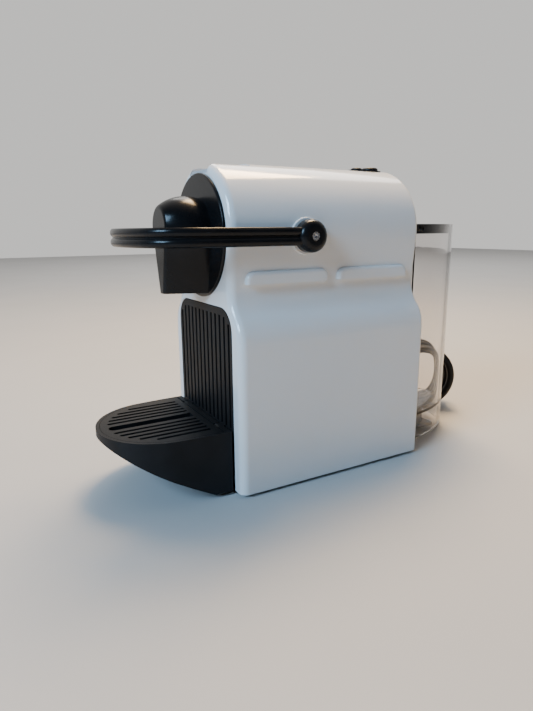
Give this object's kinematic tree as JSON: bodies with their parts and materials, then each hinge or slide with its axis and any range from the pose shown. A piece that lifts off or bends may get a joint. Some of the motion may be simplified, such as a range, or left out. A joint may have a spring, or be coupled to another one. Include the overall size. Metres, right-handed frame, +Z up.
{
  "type": "pod coffee machine",
  "caption": "Compact pod coffee machine with a looped lifting lever, round brew head, folding drip tray, clear rear water tank with hinged lid and a coiled mains lead.",
  "frame": {"origin": "bottom centre of the machine's box without its lead, on the surface it stands on", "axes": "+X to the machine's left as it faces the user, +Y from the front of the drip tray to the rear of the tank, +Z up"},
  "size_m": [0.175, 0.3749, 0.23],
  "materials": {
    "white_shell": "glossy white moulding",
    "black_gloss": "polished black moulding",
    "black_satin": "satin black moulding",
    "charcoal": "fine textured charcoal moulding",
    "grey_plastic": "plain grey moulding",
    "steel": "bright steel",
    "cast_aluminium": "as cast",
    "rubber_black": "soft matte rubber",
    "cord_black": "smooth matte sheath",
    "hose_silicone": "milky silicone",
    "clear_plastic": "clear moulding with a faint grey tint",
    "board_green": "lacquered circuit board"
  },
  "bodies": {
    "housing": {"casing": "white_shell", "rear_cover": "white_shell", "base_plate": "black_satin", "base_screws": "steel", "feet": "rubber_black", "chassis": "charcoal", "head_disc": "black_gloss", "outlet_hood": "black_gloss", "outlet_nozzle": "black_satin", "brew_plate": "steel", "pivot_bushes": "black_satin", "button_bezel": "black_gloss", "switch_board": "board_green", "button_switches": "black_satin", "tank_dock": "black_satin", "dock_seal": "rubber_black", "pump_coil": "black_satin", "pump": "steel", "pump_mounts": "rubber_black", "flow_meter": "grey_plastic", "thermoblock": "cast_aluminium", "thermostats": "steel", "suction_hose": "hose_silicone", "pressure_hose": "hose_silicone", "control_board": "board_green", "board_parts": "black_satin", "strain_relief": "rubber_black", "power_cord": "cord_black", "cord_coil": "cord_black", "plug": "cord_black", "plug_pins": "steel"},
    "lever": {"lever": "black_gloss", "lever_shafts": "steel", "lever_screws": "steel", "lever_cams": "grey_plastic"},
    "carriage": {"capsule_cage": "grey_plastic", "cage_pins": "steel", "cage_seal": "rubber_black", "cage_needles": "steel", "capsule_door": "grey_plastic"},
    "module": {"cup_panel": "charcoal", "capsule_container": "black_satin"},
    "tray": {"drip_tray": "charcoal", "tray_pins": "steel", "drip_grid": "charcoal"},
    "tank": {"water_tank": "clear_plastic", "tank_valve": "black_satin", "valve_plunger": "grey_plastic"},
    "lid": {"tank_lid": "black_gloss", "lid_pins": "black_satin"},
    "small_button": {"small_cup_button": "black_satin"},
    "large_button": {"large_cup_button": "black_satin"}
  },
  "joints": [
    {"name": "lever_lift", "type": "hinge", "parent": "housing", "child": "lever", "pos_m": [0, -0.021, 0.177], "axis": [-1, 0, 0], "range_deg": [0, 95]},
    {"name": "carriage_slide", "type": "slide", "parent": "housing", "child": "carriage", "axis": [0, 1, 0], "range_m": [0, 0.028]},
    {"name": "module_slide", "type": "slide", "parent": "housing", "child": "module", "axis": [0, -1, 0], "range_m": [0, 0.12]},
    {"name": "tray_fold", "type": "hinge", "parent": "module", "child": "tray", "pos_m": [0, -0.0828, 0.0447], "axis": [-1, 0, 0], "range_deg": [0, 85]},
    {"name": "tank_lift", "type": "slide", "parent": "housing", "child": "tank", "axis": [0, 0, 1], "range_m": [0, 0.2]},
    {"name": "lid_open", "type": "hinge", "parent": "tank", "child": "lid", "pos_m": [0, 0.0927, 0.1813], "axis": [1, 0, 0], "range_deg": [0, 90]},
    {"name": "small_cup_press", "type": "slide", "parent": "housing", "child": "small_button", "axis": [0, 0, -1], "range_m": [0, 0.0012], "stiffness_N_per_m": 800},
    {"name": "large_cup_press", "type": "slide", "parent": "housing", "child": "large_button", "axis": [0, 0, -1], "range_m": [0, 0.0012], "stiffness_N_per_m": 800}
  ],
  "couplings": [
    {"joint": "carriage_slide", "follows": "lever_lift", "m_per_rad": 0.016887}
  ]
}
